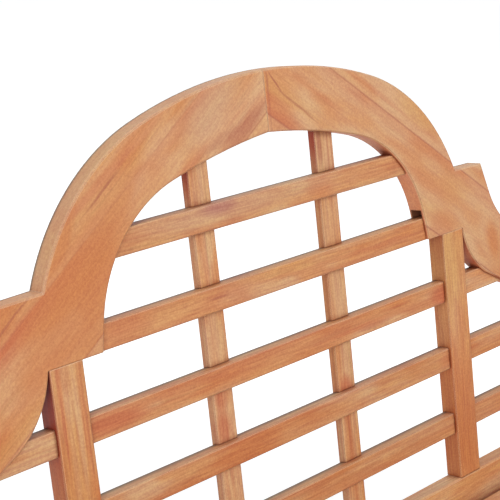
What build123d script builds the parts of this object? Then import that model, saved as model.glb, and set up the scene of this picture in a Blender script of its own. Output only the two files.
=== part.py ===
from build123d import *
from math import asin, atan2, cos, radians, sin, sqrt, tan
import os

os.makedirs("parts", exist_ok=True)

# Whole bench, in millimetres: x along the bench, y from front to back, z up from the floor
overall_depth = 620.0
back_recline = 11.0
leg_width = 50.0

# Fits shared by every joint
fit_gap = 0.2
end_gap = 1.0
overrun = 30.0
lateral_tenon = 20.0
edge_ease = 2.0

# Crest rail, drawn in the plane of the back: x from the seam, height from row one's lower edge
crest_thickness = 25.0
crown_height = 170.0
haunch_x = 192.0
haunch_height = 138.0
notch_x = 349.0
notch_drop = 12.5
shoulder_tip_x = 408.0
shoulder_tip_drop = 13.8
scoop_start_x = 422.5
scoop_start_drop = 54.0
scoop_end_x = 540.0
scoop_end_drop = 136.0
fillet_width = 56.0
fillet_step = 8.0
inner_crown_height = 96.5
inner_peak_angle = 5.5
inner_haunch_x = 155.0
inner_haunch_height = 68.0
inner_foot_x = 275.0
inner_foot_drop = 62.0
inner_corner_x = 281.0
crest_foot_drop = 94.5
sweep_start_angle = 80.0
sweep_mid_x = 401.5
sweep_mid_drop = 167.0
sweep_low_x = 445.0
sweep_low_drop = 191.0
sweep_end_x = 520.0
crest_end_drop = 212.0
crest_edge_ease = 1.6
seam_dowel_radius = 5.0
seam_dowel_length = 60.0
seam_dowel_spacing = 36.0

# Lattice of the back
row_pitch = 95.0
slat_height = 30.0
slat_thickness = 17.0
slat_recess = 4.5
upright_width = 32.0
upright_thickness = 11.5
arch_upright_x = 107.0
stile_x = 332.5
stile_width = 44.5
lap_depth = 4.0
row_count = 5
slat_tenon_thickness = 9.0
slat_tenon_height = 20.0
slat_tenon_length = 12.0
upright_tenon_thickness = 7.0
upright_tenon_width = 22.0
upright_tenon_length = 15.0
stile_tenon_thickness = 10.0
stile_tenon_width = 30.0
stile_tenon_length = 22.0
spare_mortise_height = 11.0
lattice_edge_ease = 0.8
outer_bay_width = 280.25
back_rail_height = 55.0
back_rail_rise = 21.3
back_rail_tenon_height = 36.0
back_rail_tenon_thickness = 12.0

# Rear legs
leg_top_depth = 42.0
leg_seat_depth = 58.0
leg_foot_depth = 46.0
leg_foot_y = 205.0
leg_bend_height = 416.0
leg_joint_low = 325.0
leg_bend_round = 100.0
leg_back_round = 220.0
leg_edge_ease = 3.0
crest_tenon_width = 22.0
crest_tenon_thickness = 10.0
crest_tenon_height = 18.0
crest_tenon_inset = 6.0

# Front legs
front_leg_depth = 50.0

# Seat frame
seat_height = 440.0
seat_slat_thickness = 20.0
rail_thickness = 25.0
rail_height = 68.0
rail_tenon_height = 44.0
rail_tenon_thickness = 9.0
rail_setback = 5.0
side_rail_thickness = 28.0
side_rail_height = 65.0
seat_fall = 15.0
seat_dish = 10.0
rear_rail_height = 58.0
rear_rail_inset = 15.0
rear_rail_drop = 8.0
bearer_thickness = 28.0
bearer_drop = 50.0
bearer_tenon_length = 12.0
bearer_tenon_height = 24.0
stretcher_height = 38.0
stretcher_thickness = 25.0
stretcher_level = 105.0
stretcher_tenon_height = 24.0

# Seat slats
seat_slat_count = 7
front_slat_width = 64.0
front_slat_nose_round = 9.0
front_slat_setback = 4.0
front_slat_leg_gap = 1.0
seat_slat_gap = 8.5
seat_slat_round = 4.0
seat_back_gap = 9.0

# Rolled arms
roll_radius = 57.0
roll_offset = 8.0
arm_slat_thickness = 12.0
arm_slat_count = 5
arm_slat_step = 37.0
arm_slat_low_angle = -5.0
arm_slat_gap = 2.0
arm_slat_ease = 1.5
arm_rise = 210.0
scroll_height = 150.0
scroll_thickness = 40.0
scroll_neck_angle = -100.0
rear_scroll_thickness = 26.0
arm_overhang = 14.0
arm_dowel_radius = 5.0
arm_dowel_length = 30.0
arm_dowel_low = 25.0
arm_dowel_spacing = 40.0
scroll_tenon_width = 28.0
scroll_tenon_thickness = 14.0
scroll_tenon_length = 32.0
scroll_inner_bow = 4.0
scroll_outer_bow = 7.0

# Pegs, screws and plugs
peg_radius = 4.0
peg_length = 34.0
peg_spacing = 24.0
peg_inset = 10.0
screw_radius = 2.2
screw_head_radius = 4.2
screw_head_height = 2.6
screw_length = 42.0
plug_radius = 5.0
plug_height = 6.0
plug_sides = 12
peg_sides = 8
shank_sides = 6
front_slat_outer_screw_x = 520.0
front_slat_inner_screw_x = 175.0

# Planes and levels worked out from the sizes above
recline_sine = sin(radians(back_recline))
recline_cosine = cos(radians(back_recline))
back_rail_top = slat_height - row_count * row_pitch
row_one_z = seat_height + back_rail_rise - back_rail_top * recline_cosine
row_one_y = overall_depth / 2 - crown_height * recline_sine - crest_thickness * recline_cosine
back_plane = Plane(
    origin=(0, row_one_y, row_one_z),
    x_dir=(1, 0, 0),
    z_dir=(0, -recline_cosine, recline_sine),
)
back_axis = Axis(back_plane.origin, back_plane.y_dir)
stile_inner_x = stile_x - stile_width / 2
stile_outer_x = stile_x + stile_width / 2
leg_inner_x = stile_outer_x + outer_bay_width
leg_outer_x = leg_inner_x + leg_width
leg_centre_x = leg_inner_x + leg_width / 2
outer_upright_x = (stile_outer_x + leg_inner_x) / 2
slat_back = slat_recess + slat_thickness
upright_front = crest_thickness - upright_thickness
lap_plane = slat_back - lap_depth
arm_top_height = seat_height + arm_rise
front_leg_height = arm_top_height - scroll_height
front_y = -overall_depth / 2
front_leg_y = front_y + arm_overhang - (front_leg_depth - scroll_thickness) / 2
front_leg_back_y = front_leg_y + front_leg_depth


def back_point(height, depth):
    """Gives y and z of a point of the back, from its height along it and its depth behind its front."""
    y = row_one_y + height * recline_sine + depth * recline_cosine
    z = row_one_z + height * recline_cosine - depth * recline_sine
    return (y, z)


leg_joint_y = back_point((leg_bend_height - row_one_z) / recline_cosine, 0)[0]


def row_low(row):
    """Height of a row's lower edge along the back; row one is the highest."""
    return (1 - row) * row_pitch


def bar(plane, across, up, back, mode=Mode.ADD):
    """A square bar between two values across, up and backwards from a front-facing plane."""
    with BuildSketch(plane.offset(-back[0])) as section:
        with Locations(((across[0] + across[1]) / 2, (up[0] + up[1]) / 2)):
            Rectangle(abs(across[1] - across[0]), abs(up[1] - up[0]))
    extrude(section.sketch, amount=back[0] - back[1], mode=mode)


def pair(centre, size):
    """Low and high value of a size set about its centre."""
    return (centre - size / 2, centre + size / 2)


def ease(piece, axis, width):
    """Takes the corners off the long edges of a straight member before its joints are cut."""
    chamfer(piece.edges().filter_by(axis), width)


def prism_below(place, radius, sides, top, length, mode, across_flats=False):
    """A many-sided peg or hole along a plane's normal, its top face a distance below the plane."""
    with BuildSketch(place.offset(-top)) as section:
        RegularPolygon(radius, sides, major_radius=not across_flats)
    extrude(section.sketch, amount=-length, mode=mode)


def finish(piece, name):
    piece.part.label = name
    export_step(piece.part, "parts/" + name + ".step")
    return piece.part


# Outline of one half of the crest rail, with its glue line to the other half on x = 0
def crest_outline(side):
    def at(x, height):
        return (side * x, height)

    scoop_tip = (scoop_end_x + fillet_width, -scoop_end_drop)
    quarter_start = (scoop_tip[0], -scoop_end_drop - fillet_step)
    start_angle = radians(sweep_start_angle)
    peak_angle = radians(inner_peak_angle)
    with BuildSketch(back_plane) as outline:
        with BuildLine():
            crown = TangentArc(at(0, crown_height), at(haunch_x, haunch_height), tangent=(side, 0))
            TangentArc(at(haunch_x, haunch_height), at(notch_x, -notch_drop), tangent=crown % 1)
            Line(at(notch_x, -notch_drop), at(shoulder_tip_x, -shoulder_tip_drop))
            fall = Line(at(shoulder_tip_x, -shoulder_tip_drop), at(scoop_start_x, -scoop_start_drop))
            TangentArc(fall @ 1, at(scoop_end_x, -scoop_end_drop), tangent=fall % 1)
            Polyline(at(scoop_end_x, -scoop_end_drop), at(*scoop_tip), at(*quarter_start))
            TangentArc(at(*quarter_start), at(leg_outer_x, -crest_end_drop), tangent=(side, 0))
            Line(at(leg_outer_x, -crest_end_drop), at(sweep_end_x, -crest_end_drop))
            TangentArc(
                at(sweep_end_x, -crest_end_drop), at(sweep_low_x, -sweep_low_drop), tangent=(-side, 0)
            )
            Line(at(sweep_low_x, -sweep_low_drop), at(sweep_mid_x, -sweep_mid_drop))
            TangentArc(
                at(stile_outer_x, -crest_foot_drop),
                at(sweep_mid_x, -sweep_mid_drop),
                tangent=(side * cos(start_angle), -sin(start_angle)),
            )
            Line(at(stile_outer_x, -crest_foot_drop), at(inner_corner_x, -crest_foot_drop))
            Line(at(inner_corner_x, -crest_foot_drop), at(inner_foot_x, -inner_foot_drop))
            peak = TangentArc(
                at(0, inner_crown_height),
                at(inner_haunch_x, inner_haunch_height),
                tangent=(side * cos(peak_angle), -sin(peak_angle)),
            )
            TangentArc(
                at(inner_haunch_x, inner_haunch_height),
                at(inner_foot_x, -inner_foot_drop),
                tangent=peak % 1,
            )
            Line(at(0, inner_crown_height), at(0, crown_height))
        make_face()
    return outline


crest_outlines = {side: crest_outline(side) for side in (-1, 1)}


def crest_blank(mode):
    """Both halves of the crest, whole, as a cutter for the pieces that are fitted to its edge."""
    for outline in crest_outlines.values():
        extrude(outline.sketch, amount=-crest_thickness, mode=mode)


def crest_underside(x):
    """Height of the crest's lower edge straight above or below a place along the bench."""
    outline = crest_outlines[1].sketch_local
    upright_line = Edge.make_line((abs(x), -crest_end_drop - overrun), (abs(x), crown_height))
    return min(hit.bounding_box().min.Y for hit in outline.intersect(upright_line))


def crest_inside(height):
    """Distance from the seam to the arch's inner edge at a height along the back."""
    outline = crest_outlines[1].sketch_local
    level_line = Edge.make_line((stile_x, height), (0, height))
    return min(hit.bounding_box().min.X for hit in outline.intersect(level_line))


upright_tenon_depths = (upright_front, upright_front + upright_tenon_thickness)
slat_tenon_depths = (slat_recess, slat_recess + slat_tenon_thickness)
stile_tenon_depths = pair(crest_thickness / 2, stile_tenon_thickness)
crest_tenon_depths = pair(crest_thickness / 2, crest_tenon_thickness)
back_rail_tenon_depths = pair(crest_thickness / 2, back_rail_tenon_thickness)
arch_slat_ends = {1: crest_inside(row_low(1)), 2: inner_corner_x}
arch_tenon_ends = {row: end + slat_tenon_length for row, end in arch_slat_ends.items()}
lower_arch_slat_tenon = (row_low(2) + (slat_height - slat_tenon_height) / 2, row_low(2) + slat_height)
crest_tenon_x = leg_inner_x + crest_tenon_inset + crest_tenon_width / 2


def widen(span, gap=fit_gap):
    """A mortise's span round a tenon's."""
    return (span[0] - gap, span[1] + gap)


def crest_free_edges(crest):
    """Edges of the crest's two faces, apart from those at the seam, the stile and the rear leg."""
    free = []
    for edge in crest.faces().filter_by(back_plane).edges():
        middle = back_plane.to_local_coords(edge.center())
        at_seam = abs(middle.X) < fit_gap
        at_stile = abs(middle.Y + crest_foot_drop) < fit_gap
        at_leg = abs(middle.Y + crest_end_drop) < fit_gap
        if not (at_seam or at_stile or at_leg):
            free.append(edge)
    return free


def crest_half(side, name):
    with BuildPart() as crest:
        extrude(crest_outlines[side].sketch, amount=-crest_thickness)
        chamfer(crest_free_edges(crest), crest_edge_ease)
        # Mortises of the two uprights on this side, which stand under the crest's lower edge
        for x in (arch_upright_x, outer_upright_x):
            low = crest_underside(x)
            bar(
                back_plane,
                widen(pair(side * x, upright_tenon_width)),
                (low - overrun, low + upright_tenon_length + end_gap),
                widen(upright_tenon_depths),
                Mode.SUBTRACT,
            )
        # Mortises of the two slats that end in the arch; the lower one is longer than its tenon
        bar(
            back_plane,
            (side * inner_haunch_x, side * (arch_tenon_ends[1] + end_gap)),
            widen(pair(row_low(1) + slat_height / 2, slat_tenon_height)),
            widen(slat_tenon_depths),
            Mode.SUBTRACT,
        )
        bar(
            back_plane,
            (side * inner_haunch_x, side * (arch_tenon_ends[2] + end_gap)),
            (lower_arch_slat_tenon[0] - fit_gap, lower_arch_slat_tenon[1] + spare_mortise_height),
            widen((slat_recess, slat_back)),
            Mode.SUBTRACT,
        )
        # Mortises of the stile and of the rear leg
        bar(
            back_plane,
            widen(pair(side * stile_x, stile_tenon_width)),
            (-crest_foot_drop - overrun, -crest_foot_drop + stile_tenon_length + end_gap),
            widen(stile_tenon_depths),
            Mode.SUBTRACT,
        )
        bar(
            back_plane,
            widen(pair(side * crest_tenon_x, crest_tenon_width)),
            (-crest_end_drop - overrun, -crest_end_drop + crest_tenon_height + end_gap),
            widen(crest_tenon_depths),
            Mode.SUBTRACT,
        )
        drill_dowels(seam_dowel_places(), seam_dowel_radius, seam_dowel_length)
    return finish(crest, name)


def seam_dowel_places():
    """Planes on the seam between the two halves of the crest, one for each dowel."""
    middle = (crown_height + inner_crown_height) / 2
    for height in pair(middle, seam_dowel_spacing):
        yield Plane(origin=(0, *back_point(height, crest_thickness / 2)), z_dir=(1, 0, 0))


def drill_dowels(places, radius, length):
    """Holes that run both ways from a joint's plane, half of each dowel on either side."""
    reach = length / 2 + end_gap
    for place in places:
        prism_below(
            place, radius + fit_gap, peg_sides, -reach, reach + reach, Mode.SUBTRACT, True
        )


def stile(side, name):
    foot = back_rail_top
    with BuildPart() as piece:
        bar(
            back_plane,
            (side * stile_inner_x, side * stile_outer_x),
            (foot, -crest_foot_drop),
            (0, crest_thickness),
        )
        ease(piece, back_axis, lattice_edge_ease)
        tenon = pair(side * stile_x, stile_tenon_width)
        for low, high in (
            (-crest_foot_drop, -crest_foot_drop + stile_tenon_length),
            (foot - stile_tenon_length, foot),
        ):
            bar(back_plane, tenon, (low, high), stile_tenon_depths)
        # A mortise in each side for each row of slats that ends on the stile
        for row in (3, 4, 5):
            up = widen(pair(row_low(row) + slat_height / 2, slat_tenon_height))
            for edge, inward in ((stile_inner_x, 1), (stile_outer_x, -1)):
                bar(
                    back_plane,
                    (side * edge, side * (edge + inward * (slat_tenon_length + end_gap))),
                    up,
                    widen(slat_tenon_depths),
                    Mode.SUBTRACT,
                )
    return finish(piece, name)


def upright(x, rows, name):
    """A thin upright, lapped behind its rows of slats and tenoned into crest and lower rail."""
    low = crest_underside(x)
    with BuildPart() as piece:
        bar(
            back_plane,
            pair(x, upright_width),
            (back_rail_top, low + overrun),
            (upright_front, crest_thickness),
        )
        ease(piece, back_axis, lattice_edge_ease)
        crest_blank(Mode.SUBTRACT)
        tenon = pair(x, upright_tenon_width)
        bar(
            back_plane,
            tenon,
            (low - upright_tenon_length, low + upright_tenon_length),
            upright_tenon_depths,
        )
        bar(
            back_plane,
            tenon,
            (back_rail_top - upright_tenon_length, back_rail_top),
            upright_tenon_depths,
        )
        for row in rows:
            bar(
                back_plane,
                pair(x, upright_width + overrun),
                widen((row_low(row), row_low(row) + slat_height)),
                (upright_front - overrun, lap_plane),
                Mode.SUBTRACT,
            )
    return finish(piece, name)


def cut_laps(xs, row):
    """Notches in the back of a slat, one for each upright that crosses it."""
    for x in xs:
        bar(
            back_plane,
            widen(pair(x, upright_width)),
            (row_low(row) - overrun, row_low(row) + slat_height + overrun),
            (lap_plane, slat_back + overrun),
            Mode.SUBTRACT,
        )


def slat_body(across, row):
    bar(back_plane, across, (row_low(row), row_low(row) + slat_height), (slat_recess, slat_back))


def slat_tenons(ends, row):
    """Tenons at the ends of a slat; each end is its shoulder and the way the tenon points."""
    for shoulder, way in ends:
        bar(
            back_plane,
            (shoulder, shoulder + way * slat_tenon_length),
            pair(row_low(row) + slat_height / 2, slat_tenon_height),
            slat_tenon_depths,
        )


arch_uprights = (-arch_upright_x, arch_upright_x)


def arch_slat(row, name):
    """A slat that spans the arch, its ends fitted to the crest's curved inner edge."""
    end = arch_slat_ends[row]
    reach = arch_tenon_ends[row]
    inside = crest_inside(row_low(row) + slat_height)
    with BuildPart() as piece:
        slat_body((-end, end), row)
        ease(piece, Axis.X, lattice_edge_ease)
        crest_blank(Mode.SUBTRACT)
        for side in (-1, 1):
            across = (side * (inside - slat_tenon_length), side * reach)
            if row == 1:
                up = pair(row_low(row) + slat_height / 2, slat_tenon_height)
                bar(back_plane, across, up, slat_tenon_depths)
            else:
                bar(back_plane, across, lower_arch_slat_tenon, (slat_recess, slat_back))
        cut_laps(arch_uprights, row)
    return finish(piece, name)


def lattice_slat(row, name):
    """A slat between the two stiles."""
    with BuildPart() as piece:
        slat_body((-stile_inner_x, stile_inner_x), row)
        ease(piece, Axis.X, lattice_edge_ease)
        slat_tenons(((-stile_inner_x, -1), (stile_inner_x, 1)), row)
        cut_laps(arch_uprights, row)
    return finish(piece, name)


def side_slat(side, row, name):
    """A slat of an outer bay, from the stile to the rear leg, or to the crest where that hangs lower."""
    with BuildPart() as piece:
        if row == 3:
            slat_body((side * stile_outer_x, side * sweep_end_x), row)
            ease(piece, Axis.X, lattice_edge_ease)
            crest_blank(Mode.SUBTRACT)
            slat_tenons(((side * stile_outer_x, -side),), row)
        else:
            slat_body((side * stile_outer_x, side * leg_inner_x), row)
            ease(piece, Axis.X, lattice_edge_ease)
            slat_tenons(((side * stile_outer_x, -side), (side * leg_inner_x, side)), row)
            cut_laps((side * outer_upright_x,), row)
    return finish(piece, name)


def back_rail():
    low = back_rail_top - back_rail_height
    middle = (back_rail_top + low) / 2
    with BuildPart() as piece:
        bar(back_plane, (-leg_inner_x, leg_inner_x), (low, back_rail_top), (0, crest_thickness))
        ease(piece, Axis.X, edge_ease)
        for side in (-1, 1):
            bar(
                back_plane,
                (side * leg_inner_x, side * (leg_inner_x + lateral_tenon)),
                pair(middle, back_rail_tenon_height),
                back_rail_tenon_depths,
            )
            bar(
                back_plane,
                widen(pair(side * stile_x, stile_tenon_width)),
                (back_rail_top - stile_tenon_length - end_gap, back_rail_top + overrun),
                widen(stile_tenon_depths),
                Mode.SUBTRACT,
            )
            for x in (arch_upright_x, outer_upright_x):
                bar(
                    back_plane,
                    widen(pair(side * x, upright_tenon_width)),
                    (back_rail_top - upright_tenon_length - end_gap, back_rail_top + overrun),
                    widen(upright_tenon_depths),
                    Mode.SUBTRACT,
                )
    return finish(piece, "back_rail")


def leg_front(height):
    """How far back the front edge of a rear leg stands at a height above the floor."""
    share_up = min(height / leg_joint_low, 1)
    return leg_foot_y + (leg_joint_y - leg_foot_y) * share_up


side_rail_front_top = seat_height - seat_slat_thickness
side_rail_back_top = side_rail_front_top - seat_fall
side_rail_back_low = side_rail_back_top - side_rail_height
side_tenon_length = lateral_tenon - end_gap
front_rail_y = front_leg_y + rail_setback
front_rail_back_y = front_rail_y + rail_thickness
front_rail_top = side_rail_front_top
front_rail_low = front_rail_top - rail_height
rear_rail_y = leg_joint_y + rear_rail_inset
rear_rail_top = side_rail_back_top - rear_rail_drop
rear_rail_low = rear_rail_top - rear_rail_height
stretcher_low = stretcher_level
stretcher_top = stretcher_level + stretcher_height
front_rail_middle = (front_rail_top + front_rail_low) / 2
rear_rail_middle = (rear_rail_top + rear_rail_low) / 2
side_rail_middle = (side_rail_back_top + side_rail_back_low) / 2
side_front_middle = side_rail_front_top - side_rail_height / 2
stretcher_middle = (stretcher_low + stretcher_top) / 2
front_tenon_back = pair(front_rail_y + rail_thickness / 2, rail_tenon_thickness)
rear_tenon_back = pair(rear_rail_y + rail_thickness / 2, rail_tenon_thickness)


def pegs_along(direction, places):
    """Planes at the mouths of peg holes, their normals pointing out of the leg."""
    return [Plane(origin=place, z_dir=direction) for place in places]


def front_leg_pegs(side):
    """Peg places of a front leg: two into the front rail's tenon, two into the side rail's."""
    from_front = [
        (side * (leg_inner_x + peg_inset), front_leg_y, height)
        for height in pair(front_rail_middle, peg_spacing)
    ]
    from_side = [
        (side * leg_outer_x, front_leg_back_y - peg_inset, height)
        for height in pair(side_front_middle, peg_spacing)
    ]
    return pegs_along((0, -1, 0), from_front) + pegs_along((side, 0, 0), from_side)


def rear_leg_pegs(side):
    """Peg places of a rear leg: two into the side rail's tenon."""
    from_side = [
        (side * leg_outer_x, leg_joint_y + peg_inset, height)
        for height in pair(side_rail_middle, peg_spacing)
    ]
    return pegs_along((side, 0, 0), from_side)


def drill_pegs(places):
    for place in places:
        prism_below(
            place, peg_radius + fit_gap, peg_sides, 0, peg_length + end_gap, Mode.SUBTRACT, True
        )


def rail_end(side, plane, shoulder, up, back, mode=Mode.ADD):
    """A tenon that runs outwards from a rail's shoulder, or with widened spans its mortise."""
    reach = lateral_tenon if mode == Mode.ADD else lateral_tenon + end_gap
    bar(plane, (side * shoulder, side * (shoulder + reach)), up, back, mode)


def seat_tenon(side, y_shoulder, way, middle, height, mode=Mode.ADD):
    """A tenon at an end of a side rail or stretcher, or with Mode.SUBTRACT its mortise in the leg."""
    across = pair(side * leg_centre_x, rail_tenon_thickness)
    up = pair(middle, height)
    start, reach = y_shoulder - way * edge_ease, y_shoulder + way * side_tenon_length
    if mode == Mode.SUBTRACT:
        across, up = widen(across), widen(up)
        start, reach = y_shoulder - way * overrun, reach + way * end_gap
    bar(Plane.XZ, across, up, (min(start, reach), max(start, reach)), mode)


def arm_dowel_places(side):
    """Planes at the joint of rear scroll and rear leg, one for each dowel."""
    for rise in (arm_dowel_low, arm_dowel_low + arm_dowel_spacing):
        height = (front_leg_height + rise - row_one_z) / recline_cosine
        yield Plane(
            origin=(side * leg_centre_x, *back_point(height, 0)), z_dir=back_plane.z_dir
        )


def rear_leg(side, name):
    """A rear leg, bent at the seat, that leans back with the lattice and stops under the crest."""
    back_rail_middle = back_rail_top - back_rail_height / 2
    with BuildPart() as leg:
        with BuildSketch(Plane.YZ.offset(side * leg_inner_x)):
            with BuildLine():
                FilletPolyline(
                    (leg_foot_y, 0),
                    (leg_joint_y, leg_joint_low),
                    (leg_joint_y, leg_bend_height),
                    back_point(-crest_end_drop, 0),
                    back_point(-crest_end_drop, leg_top_depth),
                    (leg_joint_y + leg_seat_depth, leg_bend_height),
                    (leg_foot_y + leg_foot_depth, 0),
                    radius=(0, leg_bend_round, leg_bend_round, 0, 0, leg_back_round, 0),
                    close=True,
                )
            make_face()
        extrude(amount=side * leg_width)
        back_faces = leg.faces().filter_by(Axis.X, reverse=True).filter_by(Axis.Z, reverse=True)
        rear_edges = back_faces.sort_by(Axis.Y)[-3:].edges().filter_by(Axis.X, reverse=True)
        chamfer(rear_edges, leg_edge_ease)
        bar(
            back_plane,
            pair(side * crest_tenon_x, crest_tenon_width),
            (-crest_end_drop, -crest_end_drop + crest_tenon_height),
            crest_tenon_depths,
        )
        rail_end(
            side,
            Plane.XZ,
            leg_inner_x,
            widen(pair(rear_rail_middle, rail_tenon_height)),
            widen(rear_tenon_back),
            Mode.SUBTRACT,
        )
        rail_end(
            side,
            back_plane,
            leg_inner_x,
            widen(pair(back_rail_middle, back_rail_tenon_height)),
            widen(back_rail_tenon_depths),
            Mode.SUBTRACT,
        )
        for row in (4, 5):
            bar(
                back_plane,
                (side * leg_inner_x, side * (leg_inner_x + slat_tenon_length + end_gap)),
                widen(pair(row_low(row) + slat_height / 2, slat_tenon_height)),
                widen(slat_tenon_depths),
                Mode.SUBTRACT,
            )
        seat_tenon(side, leg_joint_y, 1, side_rail_middle, rail_tenon_height, Mode.SUBTRACT)
        seat_tenon(
            side,
            leg_front(stretcher_middle),
            1,
            stretcher_middle,
            stretcher_tenon_height,
            Mode.SUBTRACT,
        )
        drill_pegs(rear_leg_pegs(side))
        drill_dowels(arm_dowel_places(side), arm_dowel_radius, arm_dowel_length)
    return finish(leg, name)


scroll_tenon_back = pair(front_leg_y + front_leg_depth / 2, scroll_tenon_thickness)


def front_leg(side, name):
    with BuildPart() as leg:
        bar(
            Plane.XZ,
            (side * leg_inner_x, side * leg_outer_x),
            (0, front_leg_height),
            (front_leg_y, front_leg_back_y),
        )
        ease(leg, Axis.Z, leg_edge_ease)
        rail_end(
            side,
            Plane.XZ,
            leg_inner_x,
            widen(pair(front_rail_middle, rail_tenon_height)),
            widen(front_tenon_back),
            Mode.SUBTRACT,
        )
        seat_tenon(side, front_leg_back_y, -1, side_front_middle, rail_tenon_height, Mode.SUBTRACT)
        seat_tenon(
            side, front_leg_back_y, -1, stretcher_middle, stretcher_tenon_height, Mode.SUBTRACT
        )
        bar(
            Plane.XZ,
            widen(pair(side * leg_centre_x, scroll_tenon_width)),
            (front_leg_height - scroll_tenon_length - end_gap, front_leg_height + overrun),
            widen(scroll_tenon_back),
            Mode.SUBTRACT,
        )
        drill_pegs(front_leg_pegs(side))
    return finish(leg, name)


# Seat: the bearers share one dished top edge, an arc from the front legs to the rear legs
seat_chord = sqrt((leg_joint_y - front_leg_back_y) ** 2 + seat_fall**2)
seat_radius = seat_chord**2 / (8 * seat_dish) + seat_dish / 2
seat_slope = atan2(-seat_fall, leg_joint_y - front_leg_back_y)
seat_middle_y = (front_leg_back_y + leg_joint_y) / 2
seat_middle_z = (side_rail_front_top + side_rail_back_top) / 2
seat_arc_y = seat_middle_y - sin(seat_slope) * (seat_radius - seat_dish)
seat_arc_z = seat_middle_z + cos(seat_slope) * (seat_radius - seat_dish)
seat_low_point = (
    seat_middle_y + sin(seat_slope) * seat_dish,
    seat_middle_z - cos(seat_slope) * seat_dish,
)
bearer_front_low = side_rail_front_top - bearer_drop
bearer_back_low = side_rail_back_top - bearer_drop
bearer_front_middle = (front_rail_top + bearer_front_low) / 2
bearer_back_middle = (rear_rail_top + bearer_back_low) / 2


def seat_top_arc():
    """The dished top edge of a bearer, from back to front."""
    ThreePointArc(
        (leg_joint_y, side_rail_back_top),
        seat_low_point,
        (front_leg_back_y, side_rail_front_top),
    )


def side_seat_rail(side, name):
    with BuildPart() as rail:
        with BuildSketch(Plane.YZ.offset(side * leg_centre_x)):
            with BuildLine():
                seat_top_arc()
                Polyline(
                    (front_leg_back_y, side_rail_front_top),
                    (front_leg_back_y, side_rail_front_top - side_rail_height),
                    (leg_joint_y, side_rail_back_low),
                    (leg_joint_y, side_rail_back_top),
                )
            make_face()
        extrude(amount=side_rail_thickness / 2, both=True)
        seat_tenon(side, leg_joint_y, 1, side_rail_middle, rail_tenon_height)
        seat_tenon(side, front_leg_back_y, -1, side_front_middle, rail_tenon_height)
        drill_pegs(front_leg_pegs(side) + rear_leg_pegs(side))
        drill_screws(slat_screws((side * leg_centre_x,)))
    return finish(rail, name)


def centre_bearer():
    with BuildPart() as bearer:
        with BuildSketch(Plane.YZ):
            with BuildLine():
                seat_top_arc()
                Polyline(
                    (front_leg_back_y, side_rail_front_top),
                    (front_rail_back_y, side_rail_front_top),
                    (front_rail_back_y, bearer_front_low),
                    (rear_rail_y, bearer_back_low),
                    (rear_rail_y, rear_rail_top),
                    (leg_joint_y, side_rail_back_top),
                )
            make_face()
        extrude(amount=bearer_thickness / 2, both=True)
        for back, middle in (
            ((front_rail_back_y - bearer_tenon_length, front_rail_back_y), bearer_front_middle),
            ((rear_rail_y, rear_rail_y + bearer_tenon_length), bearer_back_middle),
        ):
            bar(
                Plane.XZ,
                pair(0, rail_tenon_thickness),
                pair(middle, bearer_tenon_height),
                back,
            )
        drill_screws(slat_screws((0,)))
    return finish(bearer, "centre_bearer")


def long_seat_rail(name, y, low, top, tenon_back, bearer_middle, bearer_face, way):
    """The front or rear seat rail, tenoned into the legs, with a mortise for the centre bearer."""
    with BuildPart() as rail:
        bar(Plane.XZ, (-leg_inner_x, leg_inner_x), (low, top), (y, y + rail_thickness))
        ease(rail, Axis.X, edge_ease)
        for side in (-1, 1):
            rail_end(
                side, Plane.XZ, leg_inner_x, pair((low + top) / 2, rail_tenon_height), tenon_back
            )
        reach = bearer_face + way * (bearer_tenon_length + end_gap)
        start = bearer_face - way * overrun
        bar(
            Plane.XZ,
            widen(pair(0, rail_tenon_thickness)),
            widen(pair(bearer_middle, bearer_tenon_height)),
            (min(start, reach), max(start, reach)),
            Mode.SUBTRACT,
        )
        if way < 0:
            drill_pegs(front_leg_pegs(-1) + front_leg_pegs(1))
            drill_screws(front_slat_screws())
    return finish(rail, name)


def side_stretcher(side, name):
    with BuildPart() as stretcher:
        with BuildSketch(Plane.YZ.offset(side * leg_centre_x)):
            with BuildLine():
                Polyline(
                    (front_leg_back_y, stretcher_low),
                    (leg_front(stretcher_low), stretcher_low),
                    (leg_front(stretcher_top), stretcher_top),
                    (front_leg_back_y, stretcher_top),
                    close=True,
                )
            make_face()
        extrude(amount=stretcher_thickness / 2, both=True)
        ease(stretcher, Axis.Y, edge_ease)
        seat_tenon(side, front_leg_back_y, -1, stretcher_middle, stretcher_tenon_height)
        seat_tenon(side, leg_front(stretcher_middle), 1, stretcher_middle, stretcher_tenon_height)
    return finish(stretcher, name)


# Seat slats: the first lies flat between the front legs, the rest follow the dished bearers
front_slat_y = front_y + front_slat_setback
dished_start_y = front_slat_y + front_slat_width + seat_slat_gap
dished_end_y = leg_joint_y - seat_back_gap
dished_count = seat_slat_count - 1
seat_slat_width = (
    dished_end_y - dished_start_y - (dished_count - 1) * seat_slat_gap
) / dished_count
seat_slat_reach = leg_centre_x + side_rail_thickness / 2
bearer_xs = (-leg_centre_x, 0, leg_centre_x)


def dished_plane(index, x):
    """Plane on the underside of a dished slat: its x runs backwards along the seat, its y is up."""
    y = dished_start_y + seat_slat_width / 2 + index * (seat_slat_width + seat_slat_gap)
    turn = asin((y - seat_arc_y) / seat_radius)
    chord_distance = sqrt(seat_radius**2 - seat_slat_width**2 / 4)
    return Plane(
        origin=(
            x,
            seat_arc_y + sin(turn) * chord_distance,
            seat_arc_z - cos(turn) * chord_distance,
        ),
        x_dir=(0, cos(turn), sin(turn)),
        z_dir=(1, 0, 0),
    )


def slat_screws(xs):
    """Planes on the top of the dished slats, one for each screw, normals pointing up."""
    places = []
    for index in range(dished_count):
        for x in xs:
            under = dished_plane(index, x)
            top = under.origin + under.y_dir * seat_slat_thickness
            places.append(Plane(origin=top, x_dir=(1, 0, 0), z_dir=under.y_dir))
    return places


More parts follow.
